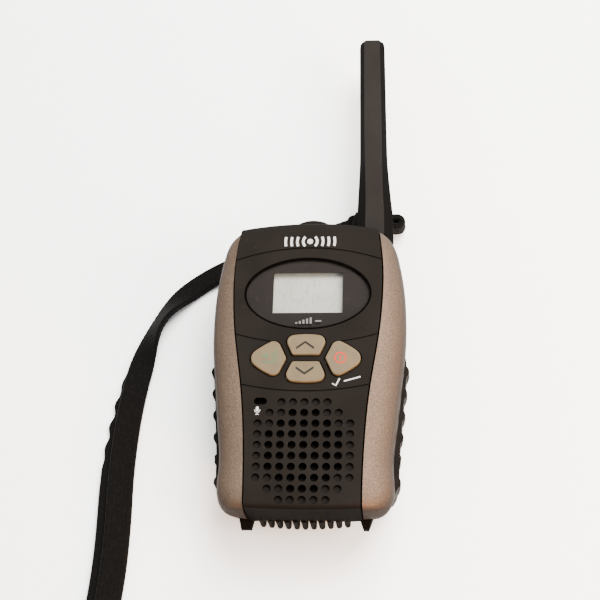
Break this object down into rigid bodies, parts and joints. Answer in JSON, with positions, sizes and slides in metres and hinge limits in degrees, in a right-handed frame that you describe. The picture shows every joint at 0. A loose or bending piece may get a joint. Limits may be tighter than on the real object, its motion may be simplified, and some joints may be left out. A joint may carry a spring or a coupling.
{
  "type": "handheld two-way radio",
  "caption": "Small hand-held two-way radio: rounded body with silver cheeks, oval display, key cluster, speaker grille, side blade antenna and woven wrist strap.",
  "frame": {"origin": "centre of the footprint of the radio (strap not counted) as it lies on its back; the battery door rests on Z = 0", "axes": "+X to the right of the front face, +Y from the bottom end to the antenna tip, +Z out of the front face"},
  "size_m": [0.0943, 0.2052, 0.0308],
  "materials": {
    "dark_case": "fine spark-eroded texture",
    "silver_paint": "warm silver metallic paint on plastic",
    "grip_rubber": "matt",
    "clear_lens": "polished clear plastic",
    "mask_print": "satin print",
    "key_rubber": "matt beige silicone",
    "contact_metal": "tinned",
    "chip_black": "moulded",
    "board_green": "solder resist",
    "lcd_glass": "grey-green reflective display",
    "diffuser": "white",
    "wire_insulation": "thin insulated wire",
    "cone_paper": "pressed paper",
    "magnet": "ground",
    "felt": "thin felt",
    "antenna_plastic": "fine texture",
    "brass": "plain",
    "cell_wrap": "printed wrap",
    "screw_steel": "zinc plated",
    "webbing": "woven polyester"
  },
  "bodies": {
    "radio": {"front_case": "dark_case", "cheek_left": "silver_paint", "cheek_right": "silver_paint", "rear_case": "dark_case", "grip_left": "grip_rubber", "grip_right": "grip_rubber", "display_lens": "clear_lens", "lens_mask": "mask_print", "ptt_switch": "chip_black", "ptt_board": "board_green", "main_board": "board_green", "display_glass": "lcd_glass", "display_holder": "dark_case", "display_contact": "key_rubber", "backlight": "diffuser", "shield_can": "contact_metal", "control_chip": "chip_black", "audio_chip": "chip_black", "crystal": "contact_metal", "capacitor": "chip_black", "speaker_frame": "contact_metal", "speaker_cone": "cone_paper", "speaker_magnet": "magnet", "speaker_felt": "felt", "microphone": "contact_metal", "microphone_boot": "grip_rubber", "speaker_wires": "wire_insulation", "microphone_wires": "wire_insulation", "audio_jack": "chip_black", "antenna_cover": "antenna_plastic", "antenna_rod": "brass", "antenna_bracket": "brass", "strap_stud": "antenna_plastic", "battery_cells": "cell_wrap", "contact_springs": "contact_metal", "contact_plates": "contact_metal", "case_screws": "screw_steel", "strap_hitch": "webbing", "strap_keeper": "webbing", "strap_legs": "webbing", "key_mat": "key_rubber", "key_domes": "contact_metal"},
    "key_up_body": {"key_up": "key_rubber"},
    "key_down_body": {"key_down": "key_rubber"},
    "key_power_body": {"key_power": "key_rubber"},
    "key_call_body": {"key_call": "key_rubber"},
    "ptt_body": {"ptt_key": "dark_case"},
    "door_body": {"battery_door": "dark_case"},
    "jack_cover_body": {"jack_cover": "grip_rubber"}
  },
  "joints": [
    {"name": "key_up_press", "type": "slide", "parent": "radio", "child": "key_up_body", "axis": [0, 0, -1], "range_m": [0, 0.0006], "stiffness_N_per_m": 1800, "springref_m": -0.0003},
    {"name": "key_down_press", "type": "slide", "parent": "radio", "child": "key_down_body", "axis": [0, 0, -1], "range_m": [0, 0.0006], "stiffness_N_per_m": 1800, "springref_m": -0.0003},
    {"name": "key_power_press", "type": "slide", "parent": "radio", "child": "key_power_body", "axis": [0, 0, -1], "range_m": [0, 0.0006], "stiffness_N_per_m": 1800, "springref_m": -0.0003},
    {"name": "key_call_press", "type": "slide", "parent": "radio", "child": "key_call_body", "axis": [0, 0, -1], "range_m": [0, 0.0006], "stiffness_N_per_m": 1800, "springref_m": -0.0003},
    {"name": "ptt_press", "type": "slide", "parent": "radio", "child": "ptt_body", "axis": [1, 0, 0], "range_m": [0, 0.001], "stiffness_N_per_m": 1500, "springref_m": -0.0004},
    {"name": "battery_door_slide", "type": "slide", "parent": "radio", "child": "door_body", "axis": [0, -1, 0], "range_m": [0, 0.056]},
    {"name": "jack_cover_pull", "type": "slide", "parent": "radio", "child": "jack_cover_body", "axis": [0, 1, 0], "range_m": [0, 0.007]}
  ]
}
